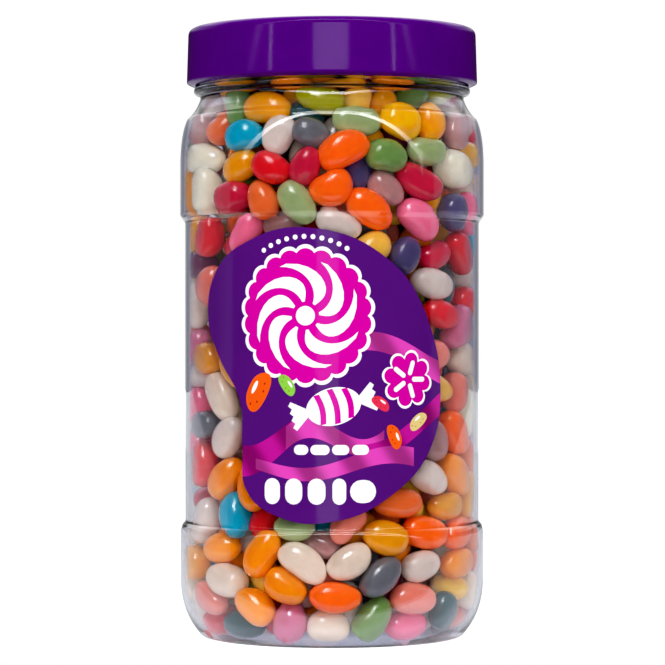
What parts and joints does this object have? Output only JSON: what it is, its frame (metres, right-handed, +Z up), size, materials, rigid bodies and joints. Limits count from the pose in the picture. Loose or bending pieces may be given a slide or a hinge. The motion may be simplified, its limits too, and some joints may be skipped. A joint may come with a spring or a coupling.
{
  "type": "jar of jelly beans",
  "caption": "Clear round screw-cap jar with a recessed waist, filled to the mouth with mixed jelly beans, with a violet cap and a curved bean-shaped label.",
  "frame": {"origin": "centre of the jar's base, on the surface it stands on", "axes": "+Z up along the jar's axis, -Y towards the front with the label, +X to the right of the label"},
  "size_m": [0.0948, 0.0948, 0.189],
  "materials": {
    "clear_pet": "clear moulded plastic, glossy",
    "violet_cap": "deep violet, satin gloss",
    "sugar_shell": "polished sugar shell in many colours",
    "printed_film": "printed film, violet ground"
  },
  "bodies": {
    "root": {"jar": "clear_pet", "cap": "violet_cap", "beans": "sugar_shell", "label": "printed_film"}
  },
  "joints": []
}
